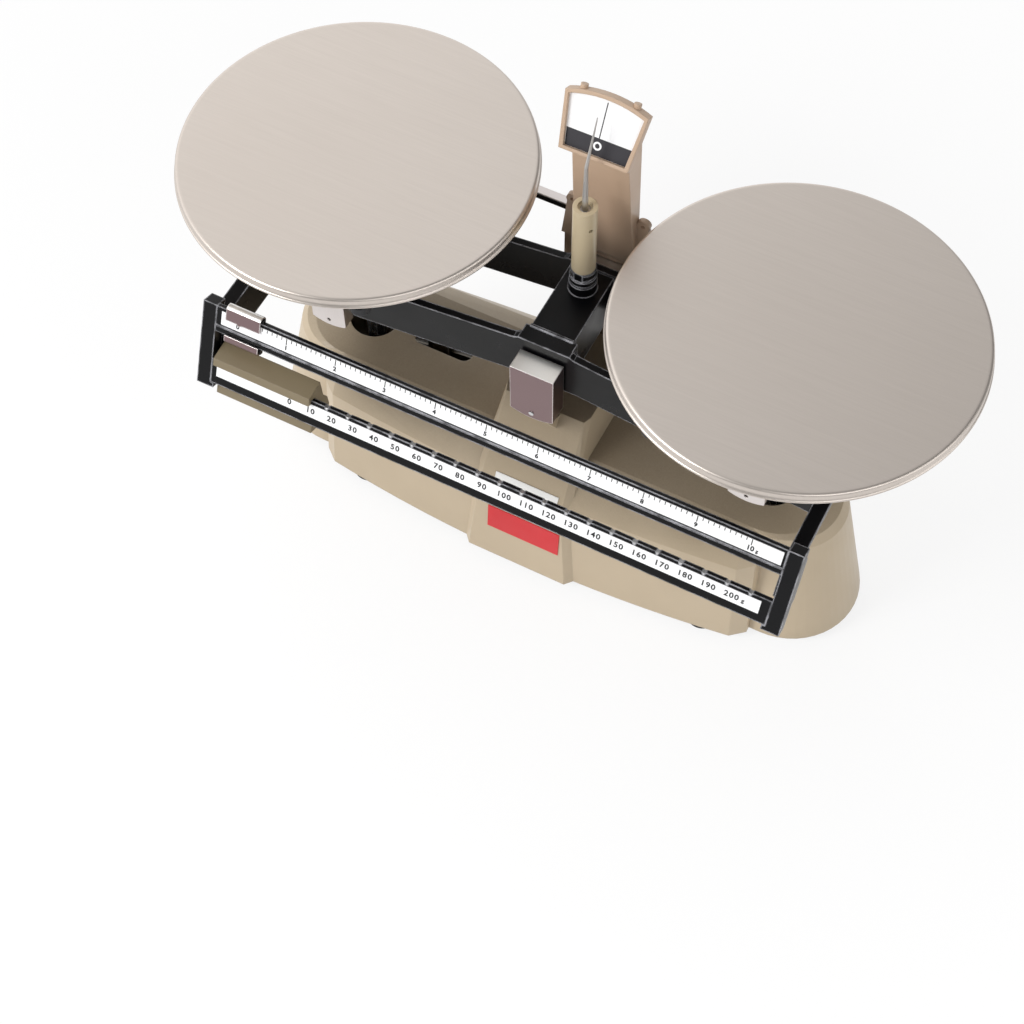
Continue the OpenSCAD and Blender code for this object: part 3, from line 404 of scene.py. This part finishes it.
def upper_marks():
    """Tenths of a gram, with a long tick and a figure at each gram."""
    store = ([], [])
    ticks = []
    for i in range(101):
        x = GRAM_ZERO + i * GRAM_PITCH / 10
        length, half = (3.0, 0.2) if i % 10 == 0 else (1.5, 0.17)
        ticks.append((x - half, x + half, STRIP_FACE - INK_T, STRIP_FACE, TICK_FOOT - length, TICK_TOP))
    add(store, *boxes(PANEL, ticks))
    for i in range(11):
        x = GRAM_ZERO + i * GRAM_PITCH
        put_text(store, str(i), x, UPPER_Z, 3.3 if i == 10 else UPPER_SIZE, 0.12)
    put_text(store, "g", x + 2.9, UPPER_Z - 0.2, 2.4)
    mesh_piece("upper_figures", *store, INK, "beam", "black_plastic")


def lower_marks():
    """A figure for each notch of ten grams."""
    store = ([], [])
    for i in range(21):
        x = NOTCH_ZERO + (i + LOWER_SHIFT) * NOTCH_PITCH
        put_text(store, str(10 * i), x, LOWER_Z, LOWER_SIZE, 0.1, 1.2)
    put_text(store, "g", x + 5.1, LOWER_Z - 0.2, 2.8, 0.07)
    mesh_piece("lower_figures", *store, INK, "beam", "black_plastic")


def notch_faces():
    """The bare metal of the lower bar's notches."""
    store = ([], [])
    for i in range(22):
        x, z, low = NOTCH_ZERO + i * NOTCH_PITCH, NOTCH_Z, NOTCH_Z - NOTCH_DEPTH
        outline = [(x - 0.78, z), (x - 0.25, low), (x + 0.25, low), (x + 0.78, z),
                   (x + 0.45, z - 0.4), (x - 0.45, z - 0.4)]
        add(store, *prism(PANEL, outline, 0.0, BAR_T, ([0, 1, 5], [1, 2, 4, 5], [2, 3, 4])))
    mesh_piece("notch_faces", *store, STEEL, "beam", "hard_steel")


# ---------------------------------------------------------------- the dial
# These too repeat the CAD source. The dial's face leans back
DIAL = (Matrix.Translation((0, 17.8 * MM + Y0, 218 * MM))
        @ Matrix.Rotation(math.radians(-28), 4, "X"))
DIAL_FACE = 1.6
BAND_LOW, BAND_TOP = 0.05, 7.4
LINE_TOP = 22.6
ZERO_Z, ZERO_OUT, ZERO_IN = 4.1, 1.8, 1.0


def dial_marks():
    """A dark band across the foot of the dial, its middle line and the ring of its zero."""
    ink = DIAL_FACE - INK_T
    band = [(-13.4, BAND_LOW), (13.4, BAND_LOW), (14.3, BAND_TOP), (-14.3, BAND_TOP)]
    mesh_piece("dial_band", *prism(DIAL, band, ink, DIAL_FACE, ([0, 1, 2, 3],)), BAND, "base",
               "black_plastic")
    line = (-0.22, 0.22, ink, DIAL_FACE, BAND_TOP, LINE_TOP)
    mesh_piece("dial_line", *boxes(DIAL, [line]), BAND, "base", "black_plastic")
    count = 32
    ring = []
    for r in (ZERO_OUT, ZERO_IN):
        for y in (DIAL_FACE - 2 * INK_T, ink):
            ring += [DIAL @ Vector((r * math.cos(a) * MM, y * MM, (ZERO_Z + r * math.sin(a)) * MM))
                     for a in (math.tau * k / count for k in range(count))]
    out_front, out_back, in_front, in_back = (count * k for k in range(4))
    faces = []
    for k in range(count):
        j = (k + 1) % count
        for a, b, c, d in ((out_front + k, out_front + j, in_front + j, in_front + k),
                           (out_back + k, in_back + k, in_back + j, out_back + j),
                           (out_front + k, out_back + k, out_back + j, out_front + j),
                           (in_front + k, in_front + j, in_back + j, in_back + k)):
            faces.append([a, b, c, d])
    mesh_piece("dial_zero", ring, faces, STRIP, "base", "strip_white")


# ---------------------------------------------------------------- the pans
# The solids' own section in mm: radius and height below the top, round the sheet and back
PAN_X, PAN_TOP, PAN_SHEET = 99.5, 186, 0.8
CORNER, BEAD = (74.6, -1.4), (75.9, -4.3)
PAN_PROFILE = ([(r, 0.0) for r in (24.0, 48.0, 66.0, 72.0, 74.0)] + arc(*CORNER, 1.4, 90, 0, 7)
               + arc(*BEAD, 0.7, 80, -180, 10) + arc(*CORNER, 0.6, 0, 90, 3)
               + [(r, -PAN_SHEET) for r in (72.0, 60.0, 24.0)])


def pan(side, x):
    """The same spun pan as the solid, with rings enough for a clean highlight on its rim."""
    count, rings = 160, len(PAN_PROFILE)
    middle = Vector((x * MM, Y0, PAN_TOP * MM))
    verts = [middle + Vector((r * math.cos(a), r * math.sin(a), z)) * MM
             for a in (math.tau * k / count for k in range(count)) for r, z in PAN_PROFILE]
    verts += [middle.copy(), middle + Vector((0, 0, -PAN_SHEET * MM))]
    faces = []
    for k in range(count):
        a, b = k * rings, (k + 1) % count * rings
        faces += [[a + i, a + i + 1, b + i + 1, b + i] for i in range(rings - 1)]
        faces += [[len(verts) - 2, a, b], [len(verts) - 1, b + rings - 1, a + rings - 1]]
    piece = mesh_piece(side + "_spun_pan", verts, faces, PAN, side + "_dish", "pan_steel")
    for face in piece.data.polygons:
        face.use_smooth = True
    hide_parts(side + "_pan")


upper_marks()
lower_marks()
notch_faces()
dial_marks()
pan("left", -PAN_X)
pan("right", PAN_X)


# ---------------------------------------------------------------- room
FLOOR_HALF = 4
# The share of plain white in what the camera and glossy surfaces see of the floor
FLOOR_GLOW = 0.8


def pale(name, tint):
    """A near-white floor that still takes the object's shadow."""
    n = Nodes(name)
    v = n.coords()
    paler = tuple(min(1, c * 1.01) for c in tint[:3]) + (1,)
    soft = n.mix(n.vary(n.noise(v, 3.0), 0.0, 1.0), tint, paler)
    mat = n.set(Base_Color=soft, Roughness=0.9)
    path = n.new("ShaderNodeLightPath")
    seen = n.math("MAXIMUM", path.outputs["Is Camera Ray"], path.outputs["Is Glossy Ray"])
    glow = n.new("ShaderNodeEmission")
    glow.inputs["Color"].default_value = (1, 1, 1, 1)
    blend = n.new("ShaderNodeMixShader")
    share = n.math("MULTIPLY", seen, FLOOR_GLOW)
    n.link(share, blend.inputs[0])
    n.link(n.bsdf.outputs[0], blend.inputs[1])
    n.link(glow.outputs[0], blend.inputs[2])
    out = n.tree.nodes["Material Output"]
    n.link(blend.outputs[0], out.inputs["Surface"])
    return mat


floor_mesh = bpy.data.meshes.new("floor")
corners = [(x * FLOOR_HALF, y * FLOOR_HALF, 0) for x, y in ((-1, -1), (1, -1), (1, 1), (-1, 1))]
floor_mesh.from_pydata(corners, [], [(0, 1, 2, 3)])
floor_mesh.materials.append(pale("floor_pale", srgb(250, 250, 250)))
floor = bpy.data.objects.new("floor", floor_mesh)
scene.collection.objects.link(floor)

# A soft room that is brighter to the left, where a large window would be
WINDOW_SIDE = (-1.0, 0.25, 0.0)
ROOM_DIM, ROOM_BRIGHT = 0.3, 1.34

world = bpy.data.worlds.new("world")
scene.world = world
world.use_nodes = True
sky = world.node_tree
background = sky.nodes["Background"]
background.inputs["Color"].default_value = (1.0, 1.0, 1.0, 1)
ways = sky.nodes.new("ShaderNodeTexCoord")
towards = sky.nodes.new("ShaderNodeVectorMath")
towards.operation = "DOT_PRODUCT"
towards.inputs[1].default_value = WINDOW_SIDE
fall_off = sky.nodes.new("ShaderNodeMapRange")
for key, v in (("From Min", -0.05), ("From Max", 0.65), ("To Min", ROOM_DIM), ("To Max", ROOM_BRIGHT)):
    fall_off.inputs[key].default_value = v
sky.links.new(ways.outputs["Generated"], towards.inputs[0])
sky.links.new(towards.outputs["Value"], fall_off.inputs["Value"])
sky.links.new(fall_off.outputs["Result"], background.inputs["Strength"])


def area(name, place, aim, size, power):
    """A rectangular lamp in metres and watts, turned towards aim."""
    data = bpy.data.lights.new(name, "AREA")
    data.shape = "RECTANGLE"
    data.size, data.size_y = size
    data.energy = power
    obj = bpy.data.objects.new(name, data)
    scene.collection.objects.link(obj)
    obj.location = place
    obj.rotation_mode = "QUATERNION"
    obj.rotation_quaternion = (Vector(aim) - Vector(place)).to_track_quat("-Z", "Y")


area("key", (-1.0, -1.3, 1.3), (0, 0, 0.1), (0.7, 0.7), 20.0)
area("fill", (1.2, -0.9, 1.2), (0, 0, 0.1), (1.4, 1.0), 8.0)
area("side", (1.5, 0.1, 0.6), (0.1, 0, 0.05), (0.9, 0.9), 3.5)

scene.view_settings.view_transform = "Standard"

bpy.context.view_layer.update()
